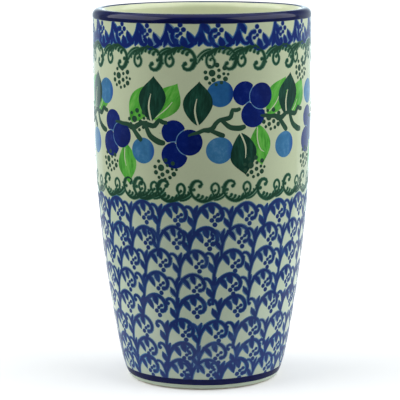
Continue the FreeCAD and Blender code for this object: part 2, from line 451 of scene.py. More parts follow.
def curl_stamp(weight, hoop_weight):
    """The scale-shaped sponge stamp: a stem that arches into a curl, with leaves, a tendril and dots."""
    hoop = [(-6.6, -4.2, 0.5), (-6.5, -2.0, 0.56), (-6.2, -0.2, 0.6), (-5.7, 1.8, 0.66), (-4.8, 3.6, 0.72),
            (-3.6, 5.1, 0.72), (-1.95, 6.4, 0.66), (0.0, 6.95, 0.64), (1.8, 6.45, 0.64), (3.1, 5.3, 0.66),
            (3.95, 3.6, 0.66), (3.95, 2.1, 0.62), (3.2, 1.05, 0.66), (2.1, 0.9, 0.8)]
    left_leaf = [(-4.0, 5.3, 0.6), (-3.1, 4.6, 0.86), (-2.4, 3.8, 0.88), (-1.95, 2.9, 0.7),
                 (-1.55, 2.0, 0.42), (-1.35, 1.45, 0.12)]
    mid_leaf = [(-0.25, 6.6, 1.0), (-0.05, 5.3, 1.02), (0.2, 4.3, 0.75), (0.45, 3.6, 0.4), (0.55, 3.2, 0.12)]
    tendril = [(-6.2, 1.2, 0.4), (-6.6, 3.2, 0.48), (-7.3, 4.7, 0.5), (-8.2, 5.6, 0.46), (-9.1, 5.75, 0.44),
               (-9.85, 5.2, 0.44), (-9.9, 4.4, 0.48), (-9.4, 3.9, 0.66)]
    upper_bract = [(-6.5, 2.4, 0.5), (-6.1, 4.0, 0.76), (-5.6, 5.1, 0.6), (-5.2, 6.2, 0.2)]
    lower_bract = [(-6.7, -1.5, 0.42), (-7.3, -0.3, 0.8), (-7.95, 0.9, 0.84), (-8.5, 2.2, 0.16)]
    stalk = [(2.2, 2.9, 0.24), (1.1, 2.15, 0.22)]
    dots = [(2.3, 3.0, 0.70), (1.05, 2.1, 0.68), (0.1, 0.8, 0.88), (1.25, -0.85, 0.92)]
    small = [(left_leaf, 8), (mid_leaf, 8), (tendril, 12), (upper_bract, 7), (lower_bract, 7), (stalk, 4)]
    return outlined([(hoop, 26, hoop_weight)] + [(line, steps, weight) for line, steps in small], dots)


def garland_stamp(weight):
    """The leafy garland stamp: a scroll with a ball end, a feathered inner edge and a spiral offshoot."""
    scroll = [(-1.1, 6.0, 0.74), (-0.35, 6.4, 0.5), (-0.3, 7.2, 0.46), (-0.95, 7.85, 0.5),
              (-2.0, 8.1, 0.54), (-3.0, 7.7, 0.66), (-3.75, 6.7, 0.78), (-4.25, 5.5, 0.76),
              (-4.35, 4.3, 0.62), (-3.95, 3.1, 0.48),
              (-3.0, 1.85, 0.52), (-1.5, 0.85, 0.6), (0.1, 0.42, 0.66), (1.8, 0.7, 0.64), (3.2, 1.3, 0.62),
              (4.4, 1.6, 0.58), (5.8, 2.1, 0.54), (7.0, 2.9, 0.48), (8.1, 4.0, 0.36), (8.7, 5.0, 0.2)]
    spiral = [(4.9, 2.2, 0.4), (5.6, 3.5, 0.4), (5.95, 4.9, 0.38), (5.65, 6.2, 0.36), (4.65, 7.05, 0.36),
              (3.6, 6.5, 0.38), (3.15, 5.3, 0.40), (3.4, 4.3, 0.38), (4.1, 3.9, 0.34), (4.6, 4.5, 0.46)]
    feathers = [[(-3.9, 4.75, 0.42), (-2.95, 4.85, 0.6)],
                [(-4.3, 5.6, 0.4), (-5.0, 5.9, 0.36)],
                [(-2.7, 1.9, 0.3), (-1.9, 2.2, 0.42), (-1.45, 2.95, 0.6)],
                [(-1.5, 1.2, 0.3), (-0.5, 1.6, 0.42), (0.0, 2.45, 0.55)],
                [(-0.1, 0.8, 0.3), (0.9, 1.15, 0.42), (1.5, 1.95, 0.52)],
                [(2.0, 0.9, 0.5), (2.7, 1.9, 0.56), (3.1, 2.9, 0.28)],
                [(3.0, 1.4, 0.5), (4.1, 2.3, 0.6), (5.0, 3.1, 0.25)],
                [(4.2, 0.85, 0.26), (5.8, 1.1, 0.34), (7.4, 1.9, 0.32), (8.9, 3.3, 0.2)],
                [(6.2, 2.5, 0.42), (6.1, 3.2, 0.22)],
                [(7.4, 3.5, 0.4), (7.2, 4.2, 0.22)],
                [(3.5, 4.1, 0.3), (4.0, 2.6, 0.3)]]
    return outlined([(scroll, 26, weight), (spiral, 18, weight)] + [(line, 6, weight) for line in feathers])


def trio_stamp():
    """Three berries, each cut back round the one in front of it so that a pale line parts them."""
    gap = 0.16
    front = (3.8, 0.4, 4.85)
    lower = (-1.8, -4.4, 4.95)
    upper = (-2.1, 4.1, 4.5)

    def berry(own, others, wave=0.012):
        bites = [(x - own[0], z - own[1], radius + gap) for x, z, radius in others]
        return moved(disc(own[2], 44, BERRY_RINGS, bites, wave), *own[:2])

    return join([berry(front, (), 0.010), berry(lower, (front,)), berry(upper, (front, lower))])


def twig_stamp():
    """A knobbly twig with two drooping side shoots, all blunt at the end."""
    return join([
        stroke([(-1.0, 0.1, 0.35), (1.0, 0.0, 0.5), (3.0, -0.4, 0.55), (5.5, -0.5, 0.6), (7.5, -1.4, 0.78),
                (9.0, -1.3, 0.7), (11.0, -0.1, 0.62), (13.0, 0.4, 0.58), (15.0, -0.1, 0.64),
                (17.4, -0.4, 0.66), (18.5, 0.8, 0.6), (19.3, 1.7, 0.62), (20.7, 1.0, 0.58),
                (22.2, 0.8, 0.55)], 28, True, 1.38),
        stroke([(7.6, -1.4, 0.6), (9.3, -3.4, 0.66), (10.5, -4.8, 0.74), (11.6, -5.9, 0.72)],
               10, True, 1.32),
        stroke([(13.7, 0.0, 0.6), (14.5, -2.2, 0.66), (15.5, -4.0, 0.74), (17.5, -5.5, 0.8),
                (19.5, -6.4, 0.8), (21.0, -6.6, 0.7)], 14, True, 1.32),
    ])


def seed_stamp():
    """A head of seeds: one large dot and fourteen small ones."""
    dots = ((0.0, 0.0, 1.15), (-2.4, 0.3, 0.66), (-2.1, -1.8, 0.78), (0.5, -2.5, 0.78), (-0.9, -3.6, 0.58),
            (1.5, -4.2, 0.58), (3.4, -3.5, 0.64), (2.5, -1.3, 0.74), (4.9, -2.2, 0.84), (2.5, 1.0, 0.60),
            (1.8, 2.9, 0.84), (-0.9, 2.4, 0.62), (4.3, -0.3, 0.54), (5.9, -0.5, 0.50), (4.6, 1.8, 0.82))
    return join([moved(disc(1.14 * size, 12, (0.8, 1.0)), across, up) for across, up, size in dots])


# ---------------------------------------------------------------- prints: stamps set down on the wall

def prints_round(front, count, height, turn, random, size=1.0):
    """Places of a row of prints, which ends where it began.

    front are the distances of the front prints from the middle, as the hand set them; the others follow
    evenly behind, each slipped a little.  Columns are the distance round the mouth, the height, the turn
    and the size.
    """
    girth = 2.0 * math.pi * sizes()["mouth"]
    front = np.asarray(front, float)
    behind = np.linspace(front[-1], front[0] + girth, max(count - len(front), 0) + 2)[1:-1]
    place = np.empty((len(front) + len(behind), 4))
    place[:, 0] = np.concatenate([front, behind + random.normal(0.0, 0.4, len(behind))])
    place[:, 1] = height + random.normal(0.0, 0.22, len(place))
    place[:, 2] = turn + random.normal(0.0, 1.6, len(place))
    place[:, 3] = size * (1.0 + random.normal(0.0, 0.010, len(place)))
    return place


def print_on_wall(name, shape, places, material, layer, random, stack=0.0):
    """Set a flat shape down on the wall once for each place and make one piece of them all.

    A point (across, up) is turned and scaled, then bearing = place / mouth radius + across / wall radius,
    and height = place + up, kept clear of the rim's crest and the foot.  The lift is the shape's own, plus
    the layer where the pigment is thick, times the pigment's height; every second print is laid over its
    neighbours, higher by the stack.
    Marks: ink, the print's own tone, and the point's place within its print.
    """
    s = sizes()
    places = np.asarray(places, float).reshape(-1, 4)
    turn = np.radians(places[:, 2])[:, None]
    u, v = (places[:, 3][:, None, None] * shape["at"][None]).transpose(2, 0, 1)
    across = u * np.cos(turn) - v * np.sin(turn)
    up = u * np.sin(turn) + v * np.cos(turn)
    height = np.clip(places[:, 1][:, None] + up, 3.4, 140.2)
    local = wall_radius(places[:, 1])[:, None]
    bearing = places[:, 0][:, None] / s["mouth"] + across / local
    proud = bpy.context.scene.mug_pattern.proud / MM
    level = layer + stack * (np.arange(len(places)) % 2)
    lift = proud * (np.where(shape["lift"] > THIN, level[:, None], 0.0) + shape["lift"])
    count = len(shape["at"])
    start = count * np.arange(len(places))
    faces = [(block[None] + start[:, None, None]).reshape(-1, block.shape[1]) for block in shape["faces"]]
    tone = np.repeat(random.uniform(0.0, 1.0, len(places)), count)
    inside = np.broadcast_to(shape["at"][None], (len(places), count, 2)).reshape(-1, 2)
    marks = {"ink": np.tile(shape["ink"], len(places)), "tone": tone,
             "within": np.concatenate([inside, 10.0 * tone[:, None]], 1)}
    points = wall_point(bearing, height, lift).reshape(-1, 3)
    normals = wall_normal(bearing, height).reshape(-1, 3)
    new_piece(name, points, faces, material, normals=normals, marks=marks)


# ---------------------------------------------------------------- materials

class Nodes:
    """Short calls for the nodes of one node tree."""

    def __init__(self, tree):
        self.tree = tree

    def node(self, kind, settings=None, **links):
        """Add a node; settings are its own values, links are its inputs: a socket, or a plain value."""
        made = self.tree.nodes.new(kind)
        for key, value in (settings or {}).items():
            setattr(made, key, value)
        for key, value in links.items():
            self.feed(made.inputs[int(key[1:]) if key[1:].isdigit() else key], value)
        return made

    def feed(self, socket, value):
        """Link a socket, or set its value."""
        if isinstance(value, bpy.types.NodeSocket):
            self.tree.links.new(value, socket)
        else:
            socket.default_value = value

    def sum(self, first, second, how="ADD"):
        """Two numbers added, multiplied or otherwise combined."""
        return self.node("ShaderNodeMath", {"operation": how}, _0=first, _1=second).outputs[0]

    def span(self, value, low, high, to_low=0.0, to_high=1.0, how="SMOOTHSTEP"):
        """A number's range turned into another range, with soft ends unless told otherwise."""
        made = self.node("ShaderNodeMapRange", {"interpolation_type": how}, Value=value)
        for key, number in (("From Min", low), ("From Max", high), ("To Min", to_low), ("To Max", to_high)):
            made.inputs[key].default_value = number
        return made.outputs["Result"]

    def blend(self, share, first, second):
        """Two colours mixed by a share."""
        made = self.node("ShaderNodeMix", {"data_type": "RGBA"})
        self.feed(made.inputs["Factor"], share)
        self.feed(made.inputs[6], first)
        self.feed(made.inputs[7], second)
        return made.outputs[2]

    def ramp(self, value, stops):
        """A number turned into a colour by stops of (position, colour)."""
        made = self.node("ShaderNodeValToRGB", Fac=value)
        band = made.color_ramp
        while len(band.elements) < len(stops):
            band.elements.new(0.5)
        for element, (position, shade) in zip(band.elements, stops):
            element.position = position
            element.color = shade
        return made.outputs["Color"]


class Finish(Nodes):
    """A Principled material, with what its pattern needs."""

    def __init__(self, name):
        self.material = bpy.data.materials.new(name)
        self.material.use_nodes = True
        super().__init__(self.material.node_tree)
        self.shader = self.tree.nodes["Principled BSDF"]
        self.place = self.node("ShaderNodeTexCoord").outputs["Object"]

    def mark(self, name, output="Fac"):
        """A point attribute of the piece."""
        return self.node("ShaderNodeAttribute", {"attribute_name": name}).outputs[output]

    def noise(self, size, detail=3.0, rough=0.55, place=None):
        """Cloud noise whose lumps are about size millimetres across."""
        made = self.node("ShaderNodeTexNoise", Vector=place or self.place, Detail=detail, Roughness=rough)
        made.inputs["Scale"].default_value = 1.0 / (size * MM)
        return made.outputs["Fac"]

    def bump(self, *layers):
        """Bumps of (height in millimetres, number), one on another."""
        normal = None
        for depth, value in layers:
            made = self.node("ShaderNodeBump", Height=value, Distance=depth * MM)
            made.inputs["Strength"].default_value = 1.0
            if normal is not None:
                self.feed(made.inputs["Normal"], normal)
            normal = made.outputs["Normal"]
        self.feed(self.shader.inputs["Normal"], normal)
        self.feed(self.shader.inputs["Coat Normal"], normal)

    def glaze(self, shade, rough):
        """Give the shader its colour and the clear glossy coat of the firing."""
        inputs = self.shader.inputs
        self.feed(inputs["Base Color"], shade)
        self.feed(inputs["Roughness"], rough)
        inputs["IOR"].default_value = 1.45
        inputs["Specular IOR Level"].default_value = 0.0
        inputs["Coat Weight"].default_value = 1.0
        inputs["Coat Roughness"].default_value = 0.035
        inputs["Coat IOR"].default_value = 1.4


def darker(shade, share):
    """A colour scaled towards black, or brighter where share is over one, each channel held at one."""
    return (*[min(1.0, channel * share) for channel in shade[:3]], 1.0)


def between(first, second, share):
    """A colour part of the way from one to another."""
    return (*[a + (b - a) * share for a, b in zip(first[:3], second[:3])], 1.0)


def glaze_ripple(finish):
    """The faint orange-peel and slow ripple that every glossy surface of the mug shares."""
    finish.bump((0.010, finish.noise(9.0, 1.0)), (0.0022, finish.noise(1.1, 1.0)))


def cream_finish(name, warmth=0.0, haze_and_painted_low_shade=0.0):
    """Clear glaze over pale clay: cloudy tone, iron specks, a soft gloss, and any cobalt haze, with painted
    shade that darkens the cream towards the foot.
    """
    c = bpy.context.scene.mug_colours
    finish = Finish(name)
    cloud = finish.noise(16.0, 4.0)
    base = finish.ramp(cloud, [(0.30, darker(c.cream, 0.95)), (0.70, between(c.cream, c.warm, warmth))])
    if haze_and_painted_low_shade:
        height = finish.node("ShaderNodeSeparateXYZ", Vector=finish.place).outputs["Z"]
        base = finish.blend(finish.span(height, 0.060, 0.074, haze_and_painted_low_shade, 0.0), base, c.haze_and_painted_low_shade)
        # Painted shade: below 40 mm the cream is darkened towards the foot, standing in for the dimmer light
        # low on the wall.
        base = finish.blend(finish.span(height, 0.004, 0.040, haze_and_painted_low_shade, 0.0), base, darker(c.haze_and_painted_low_shade, 0.70))
    grain = finish.span(finish.noise(0.55, 3.0), 0.35, 0.75, 0.0, 0.07)
    base = finish.blend(grain, base, darker(c.cream, 0.55))
    cells = finish.node("ShaderNodeTexVoronoi", Vector=finish.place)
    cells.inputs["Scale"].default_value = 1.0 / (4.2 * MM)
    rare = finish.span(finish.noise(3.0, 1.0), 0.56, 0.60)
    speck = finish.sum(finish.span(cells.outputs["Distance"], 0.030, 0.060, 1.0, 0.0), rare, "MULTIPLY")
    base = finish.blend(finish.sum(speck, 0.75, "MULTIPLY"), base, c.iron)
    finish.glaze(base, finish.span(cloud, 0.3, 0.7, 0.16, 0.24))
    glaze_ripple(finish)
    return finish.material


def stamped_finish(name, core, edge, mottle=0.24, light=1.7, gloss=0.75):
    """Sponged pigment: deep where it is thick, paler and watery at the edges, mottled by its pores."""
    c = bpy.context.scene.mug_colours
    finish = Finish(name)
    pores = finish.noise(1.3, 4.0, 0.7)
    fine = finish.noise(0.38, 2.0, 0.6)
    wander = finish.sum(finish.sum(pores, 0.5, "SUBTRACT"), mottle, "MULTIPLY")
    grit = finish.sum(finish.sum(fine, 0.5, "SUBTRACT"), 0.5 * mottle, "MULTIPLY")
    tone = finish.sum(finish.sum(finish.mark("tone"), 0.5, "SUBTRACT"), 0.16, "MULTIPLY")
    thick = finish.sum(finish.sum(finish.sum(finish.mark("ink"), wander), grit), tone)
    base = finish.ramp(thick, [(0.02, between(edge, c.cream, 0.25)), (0.14, edge),
                               (0.30, between(edge, core, 0.75)), (0.50, core)])
    patch = finish.span(finish.noise(4.5, 2.0), 0.50, 0.72, 0.0, 0.35)
    base = finish.blend(patch, base, between(darker(core, light), edge, 0.35))
    finish.glaze(base, finish.span(pores, 0.3, 0.7, 0.14, 0.24))
    finish.shader.inputs["Coat Weight"].default_value = gloss
    glaze_ripple(finish)
    return finish.material


def berry_finish(name, core, edge, dab, depth):
    """A berry dabbed twice: mottled pigment with a darker crescent down its right side."""
    c = bpy.context.scene.mug_colours
    finish = Finish(name)
    cloud = finish.noise(3.0, 4.0, 0.6)
    pores = finish.noise(0.7, 3.0, 0.65)
    within = finish.node("ShaderNodeSeparateXYZ", Vector=finish.mark("within", "Vector"))
    sway = finish.sum(finish.sum(cloud, 0.5, "SUBTRACT"), 2.2, "MULTIPLY")
    side = finish.span(finish.sum(within.outputs["X"], sway), 2.2, 4.4)
    base = finish.ramp(cloud, [(0.30, darker(core, 0.82)), (0.52, core),
                               (0.74, between(core, edge, 0.45))])
    base = finish.blend(finish.sum(side, depth, "MULTIPLY"), base, dab)
    base = finish.blend(finish.span(pores, 0.52, 0.80, 0.0, 0.22), base, edge)
    rim = finish.span(finish.mark("ink"), 0.10, 0.75, 1.0, 0.0)
    base = finish.blend(finish.sum(rim, 0.55, "MULTIPLY"), base, between(edge, c.cream, 0.15))
    finish.glaze(base, finish.span(pores, 0.3, 0.7, 0.13, 0.20))
    glaze_ripple(finish)
    return finish.material


def leaf_finish(name, core, light, deep, streak):
    """A leaf brushed from base to tip: streaks along the stroke, a deeper pool on one side, thin edges."""
    c = bpy.context.scene.mug_colours
    finish = Finish(name)
    within = finish.mark("within", "Vector")
    along = finish.node("ShaderNodeMapping", Vector=within)
    along.inputs["Scale"].default_value = (0.75, 0.16, 1.0)
    brush = finish.node("ShaderNodeTexNoise", Vector=along.outputs[0], Detail=4.0, Roughness=0.6)
    brush.inputs["Scale"].default_value = 1.0
    pores = finish.noise(0.8, 3.0, 0.65)
    base = finish.ramp(brush.outputs["Fac"], [(0.28, deep), (0.47, core), (0.70, light)])
    side = finish.node("ShaderNodeSeparateXYZ", Vector=within)
    pool = finish.span(side.outputs["X"], 1.5, 4.6, 0.0, 0.5)
    base = finish.blend(pool, base, deep)
    base = finish.blend(finish.span(pores, 0.5, 0.8, 0.0, streak), base, light)
    rim = finish.span(finish.mark("ink"), 0.05, 0.8, 1.0, 0.0)
    base = finish.blend(finish.sum(rim, 0.45, "MULTIPLY"), base, between(core, c.cream, 0.35))
    finish.glaze(base, finish.span(pores, 0.3, 0.7, 0.14, 0.22))
    glaze_ripple(finish)
    return finish.material


def band_finish(name, gloss=0.65, thinning=0.8):
    """Thick brushed cobalt: near black, with brush lines round the mug and a bluer, thinner edge."""
    c = bpy.context.scene.mug_colours
    finish = Finish(name)
    round_wall = finish.node("ShaderNodeMapping", Vector=finish.place)
    round_wall.inputs["Scale"].default_value = (0.12, 0.12, 1.0)
    lines = finish.noise(0.5, 3.0, 0.6, round_wall.outputs[0])
    cloud = finish.noise(6.0, 3.0)
    base = finish.ramp(lines, [(0.3, darker(c.navy, 0.8)), (0.7, darker(c.navy, 1.5))])
    base = finish.blend(finish.span(cloud, 0.5, 0.8, 0.0, 0.35), base, between(c.navy, c.stamp, 0.5))
    rim = finish.span(finish.mark("ink"), 0.0, 0.9, 1.0, 0.0)
    base = finish.blend(finish.sum(rim, 0.8, "MULTIPLY"), base, darker(c.stamp, 1.1))
    thin = finish.span(finish.mark("ink"), 0.0, 0.45, 1.0, 0.0)
    base = finish.blend(finish.sum(thin, thinning, "MULTIPLY"), base, between(c.stamp, c.cream, 0.45))
    finish.glaze(base, 0.10)
    finish.shader.inputs["Coat Roughness"].default_value = 0.10
    finish.shader.inputs["Coat Weight"].default_value = gloss
    glaze_ripple(finish)
    return finish.material


def clay_finish(name):
    """Bare fired stoneware: matt, gritty, with dark iron grains."""
    c = bpy.context.scene.mug_colours
    finish = Finish(name)
    cloud = finish.noise(5.0, 4.0)
    grit = finish.noise(0.35, 4.0, 0.7)
    base = finish.ramp(cloud, [(0.3, darker(c.clay, 0.75)), (0.7, darker(c.clay, 1.15))])
    base = finish.blend(finish.span(grit, 0.58, 0.72, 0.0, 0.6), base, darker(c.clay, 0.35))
    finish.feed(finish.shader.inputs["Base Color"], base)
    finish.feed(finish.shader.inputs["Roughness"], finish.span(grit, 0.3, 0.7, 0.72, 0.9))
    finish.bump((0.05, grit), (0.03, cloud))
    return finish.material


# ---------------------------------------------------------------- turned pieces

def outside_line(low, high, count):
    """Outside points (r, z) between two heights."""
    height = np.linspace(low, high, count)
    return np.stack([wall_radius(height), height], -1)


def coat_section(line, depth):
    """A closed section: a line of the outside face, and back along the same line moved in by depth."""
    back = line[::-1] - [[depth, 0.0]]
    return np.concatenate([line, back])


def level_line(radii, height):
    """Points (r, z) at one height."""
    return np.stack([radii, np.full(len(radii), height)], -1)


def lip_centre(s):
    """Centre (r, z) of the lip's half circle."""
    return s["mouth"] - s["wall"] / 2, s["height"] - s["wall"] / 2


def inner_corner(s):
    """Centre (r, z) of the arc between the inner floor and wall, and the sine of its upper end's lean.

    The arc touches the inner belly arc, so the two centres lie apart by the difference of the radii.
    """
    reach = s["belly_arc"] - s["wall"] - s["corner"]
    sine = (s["belly_start"] - s["floor"] - s["corner"]) / reach
    centre = (s["mouth"] - s["belly_arc"] + reach * math.sqrt(1.0 - sine ** 2), s["floor"] + s["corner"])
    return centre, sine


class MUG_OT_body(bpy.types.Operator):
    """Turn the clay body with its bare foot ring"""
    bl_idname = "mug.body"
    bl_label = "Clay body"

    def execute(self, context):
        s = sizes()
        coat = s["coat"]
        back = s["wall"] - coat
        foot_in = 24.2
        ceiling = top_of("underside_glaze")
        lip = lip_centre(s)
        corner, _ = inner_corner(s)
        outer = outside_line(1.2, lip[1], 90) - [[coat, 0.0]]
        inner_top = outside_line(lip[1], s["floor"] + 10.0, 40) - [[back, 0.0]]
        # The foot ring comes first: its inner side, its rounded edges and the flat it stands on.
        section = np.concatenate([
            [[0.0, ceiling], [8.0, ceiling], [16.0, ceiling], [foot_in, ceiling]],
            [[foot_in, 1.6], [foot_in, 0.6]],
            arc((foot_in + 0.6, 0.6), 0.6, 210.0, 270.0, 5),
            [[25.6, 0.0], [26.5, 0.0], [27.3, 0.03]],
            arc((27.3, 0.93), 0.9, 285.0, 345.0, 5),
            outer,
            arc(lip, s["wall"] / 2 - coat, 10.0, 170.0, 12),
            inner_top,
            arc(corner, s["corner"] + coat, -20.0, -90.0, 10),
            [[12.0, s["floor"] - coat], [0.0, s["floor"] - coat]],
        ])
        points, faces = turned(section)
        new_piece("clay_body", points, faces, clay_finish("bare_stoneware"), ["stoneware_body"])
        return {"FINISHED"}


class MUG_OT_coats(bpy.types.Operator):
    """Lay the cream glaze coats: outside, heel, inside and underside"""
    bl_idname = "mug.coats"
    bl_label = "Cream coats"

    def execute(self, context):
        s = sizes()
        coat = s["coat"]
        band_low = foot_of("foot_band")
        band_high = top_of("foot_band")
        rim_low = foot_of("rim_band")
        # The haze share also sets how strongly painted shade darkens the outside and heel coats towards the
        # foot.
        outer_cream = cream_finish("cream_glaze_outside", haze_and_painted_low_shade=0.8)
        line = outside_line(band_high - 1.0, rim_low + 0.8, 150)
        points, faces = turned(coat_section(line, coat))
        new_piece("outside_coat", points, faces, outer_cream, ["outside_glaze"])
        bead_low = foot_of("heel_glaze")
        bead = outside_line(bead_low, band_low + 1.0, 14)
        bulge = 0.16 * np.exp(-((bead[:, 1] - bead_low - 0.35) / 0.32) ** 2)
        bead[:, 0] += bulge - 0.28 * np.clip(1.0 - (bead[:, 1] - bead_low) / 0.25, 0.0, 1.0)
        points, faces = turned(coat_section(bead, coat))
        new_piece("heel_coat", points, faces, outer_cream, ["heel_glaze"])
        self.inside(s)
        self.underside(s)
        return {"FINISHED"}

    def inside(self, s):
        """The coat of the drink space: floor, corner arc, inner wall and the lip's inner shoulder."""
        corner, sine = inner_corner(s)
        lean = math.degrees(math.asin(sine))
        meet = s["belly_start"] - (s["belly_arc"] - s["wall"]) * sine
        height = np.linspace(meet, s["belly_start"], 80)
        inner_arc = s["belly_arc"] - s["wall"]
        belly = s["mouth"] - s["belly_arc"] + np.sqrt(inner_arc ** 2 - (height - s["belly_start"]) ** 2)
        centre = lip_centre(s)
        straight = np.linspace(s["belly_start"], centre[1], 24)[1:]
        lip = arc(centre, s["wall"] / 2, 180.0, 100.0, 16)
        face = np.concatenate([
            level_line(np.linspace(0.0, corner[0], 10)[:-1], s["floor"]),
            arc(corner, s["corner"], -90.0, -lean, 18)[:-1],
            np.stack([belly, height], -1),
            np.stack([np.full(len(straight), s["mouth"] - s["wall"]), straight], -1),
            lip[1:],
        ])
        depth = 0.8 * s["coat"]
        behind = face[::-4].copy()
        step = np.gradient(behind, axis=0)
        step /= np.linalg.norm(step, axis=1, keepdims=True)
        behind += depth * np.stack([-step[:, 1], step[:, 0]], -1)
        behind = np.concatenate([behind[1:-1], [[0.0, s["floor"] - depth]]])
        points, outward = turned(np.concatenate([face, behind]))
        faces = [block[:, ::-1] for block in outward]
        new_piece("inside_coat", points, faces, cream_finish("cream_glaze_inside", 0.35),
                  ["inside_glaze"])

    def underside(self, s):
        """The coat of the recess, with a fillet of pooled glaze where it meets the foot ring."""
        low = 2.6
        top = top_of("underside_glaze")
        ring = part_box("underside_glaze")[1].x / MM
        face = np.concatenate([level_line(np.linspace(0.0, ring - 0.8, 14), low),
                               arc((ring - 0.8, low - 0.8), 0.8, 75.0, 0.0, 7),
                               [[ring + 0.02, top - 0.05], [0.5 * ring, top - 0.05], [0.0, top - 0.05]]])
        face[:, 1] += 0.05 * np.sin(face[:, 0] * 0.55) * (face[:, 0] < ring - 2.0) * (face[:, 1] < low + 0.2)
        points, faces = turned(face)
        new_piece("underside_coat", points, faces, cream_finish("cream_glaze_underside", 0.2),
                  ["underside_glaze"])


def band_piece(name, line, node, random, wander, material, fade=12.0):
    """A brushed band: a thin closed strip that stands proud of the glaze, with wavering painted edges.

    The strip is the line moved out along its own normal; its two edges slide along the line by a sum of
    sines of the bearing.  Ink grows from zero over a twelfth of the strip at the low edge, and over one part
    in fade at the high edge.
    """
    rows = len(line)
    bearing = np.linspace(0.0, 2.0 * math.pi, FINE, endpoint=False)
    share = np.linspace(0.0, 1.0, rows)[:, None]
    phase = random.uniform(0.0, 2.0 * math.pi, (2, 5))
    turns = np.array([3.0, 5.0, 8.0, 13.0, 21.0])
    size = wander * np.array([1.0, 0.8, 0.6, 0.4, 0.25])
    low, high = (size * np.sin(turns * bearing[:, None, None] + phase)).sum(-1).T
    ink = np.clip(np.minimum(share * 12.0, (1.0 - share) * fade), 0.0, 1.0)
    along = np.gradient(line, axis=0)
    along /= np.linalg.norm(along, axis=1, keepdims=True)
    out = np.stack([along[:, 1], -along[:, 0]], -1)
    lift = 0.14 * ink ** 0.5 - 0.02
    slide = low * (1.0 - share) ** 3 + high * share ** 3
    face = line[:, None] + out[:, None] * lift[:, None] + along[:, None] * slide[..., None]
    behind = (line - 0.2 * out)[::-4]
    section = np.concatenate([face, np.broadcast_to(behind[:, None], (len(behind), FINE, 2))])
    z = section[..., 1]
    r = section[..., 0] + unevenness(bearing, z)
    points = np.stack([r * np.sin(bearing), -r * np.cos(bearing), z], -1)
    faces = [grid_faces(len(section), FINE, True, True)]
    marks = {"ink": np.concatenate([np.repeat(ink, FINE), np.zeros(len(behind) * FINE)])}
    new_piece(name, points.reshape(-1, 3), faces, material, [node], marks=marks)


class MUG_OT_bands(bpy.types.Operator):
    """Brush the cobalt bands over the lip and round the heel"""
    bl_idname = "mug.bands"
    bl_label = "Cobalt bands"

    def execute(self, context):
        s = sizes()
        random = np.random.default_rng(SEED)
        material = band_finish("cobalt_band")
        lip = lip_centre(s)
        outside = outside_line(foot_of("rim_band"), lip[1], 8)
        crest = arc(lip, s["wall"] / 2, 0.0, 120.0, 36)
        over_lip = np.concatenate([outside[:-1], crest])
        band_piece("rim_coat", over_lip, "rim_band", random, 0.05, material, 16.0)
        heel = outside_line(foot_of("foot_band"), top_of("foot_band"), 22)
        thin = band_finish("cobalt_foot_band", 0.35, 0.3)
        band_piece("foot_coat", heel, "foot_band", random, 0.05, thin)
        return {"FINISHED"}


# ---------------------------------------------------------------- stamped rows
#
# Fronts are distances in millimetres round the mouth from the middle of the front.  A field row is its
# height, its number of prints and its front.

RIM_FRONT = (-44.5, -31.2, -19.5, -6.6, 7.2, 22.2, 34.3, 47.2)
UPPER_FRONT = (-47.8, -32.4, -17.8, -5.0, 9.7, 21.8, 36.8, 48.0)
LOWER_FRONT = (-44.0, -30.7, -25.5, -15.0, -2.0, 10.5, 24.0, 36.6, 49.0)
FIELD_ROWS = (
    (65.8, 18, (-38.3, -24.1, -10.8, 3.3, 17.2, 31.8, 46.3)),
    (57.0, 18, (-37.4, -24.1, -11.6, 1.3, 14.3, 27.6, 42.2)),
    (48.4, 17, (-32.4, -17.8, -2.8, 11.8, 26.8, 42.2)),
    (39.1, 17, (-36.2, -19.5, -3.9, 11.3, 26.8, 41.3)),
    (30.4, 15, (-38.3, -21.2, -4.1, 13.8, 31.8, 48.0)),
    (21.3, 15, (-29.5, -9.5, 5.5, 22.2, 38.8)),
    (12.6, 15, (-28.7, -9.5, 5.5, 23.8, 40.5)),
    (5.5, 15, (-29.5, -11.2, 2.2, 17.2, 34.7)),
)


class MUG_OT_rows(bpy.types.Operator):
    """Print the rows of sponge stamps: rim row, both garlands and the scale-like field"""
    bl_idname = "mug.rows"
    bl_label = "Stamped rows"

    def execute(self, context):
        c = context.scene.mug_colours
        p = context.scene.mug_pattern
        random = np.random.default_rng(SEED + 1)
        curl = curl_stamp(1.17, 1.07)
        heavy_curl = curl_stamp(1.48, 1.14)
        garland = moved(garland_stamp(0.96), 2.0, 0.0)
        light_garland = moved(garland_stamp(0.87), 2.0, 0.0)
        blue = stamped_finish("stamped_cobalt", c.stamp, c.stamp_edge, 0.14, gloss=0.5)
        green = stamped_finish("stamped_green", c.garland, c.garland_edge, 0.18, 1.6)
        rim = prints_round(RIM_FRONT, p.rim_prints, 137.1, 180.0, random, 1.04)
        rim[5, 1] -= 0.9            # one print was set down low
        deep = stamped_finish("deep_stamped_cobalt", between(c.stamp, c.berry, 0.7), c.rim_edge, 0.16)
        print_on_wall("rim_row", heavy_curl, rim, deep, 1.2, random, 1.0)
        upper = prints_round(UPPER_FRONT, p.upper_prints, 130.75, 180.0, random, 1.09)
        print_on_wall("upper_garland", garland, upper, green, 1.9, random, 1.2)
        lower = prints_round(LOWER_FRONT, p.lower_prints, 73.25, 0.0, random)
        print_on_wall("lower_garland", light_garland, lower, green, 1.9, random, 1.2)
        for number, (height, count, front) in enumerate(FIELD_ROWS, start=1):
            places = prints_round(front, count, height, 0.0, random)
            layer = 1.2 + 0.7 * (number % 2)
            print_on_wall(f"field_row_{number}", curl, places, blue, layer, random, 1.4)
        return {"FINISHED"}


# ---------------------------------------------------------------- the berry vine
#
# One length of the vine has three clusters.  A place is the distance round the mouth from the front, in
# millimetres, the height, the turn in degrees and the size.  The vine goes round in three lengths.

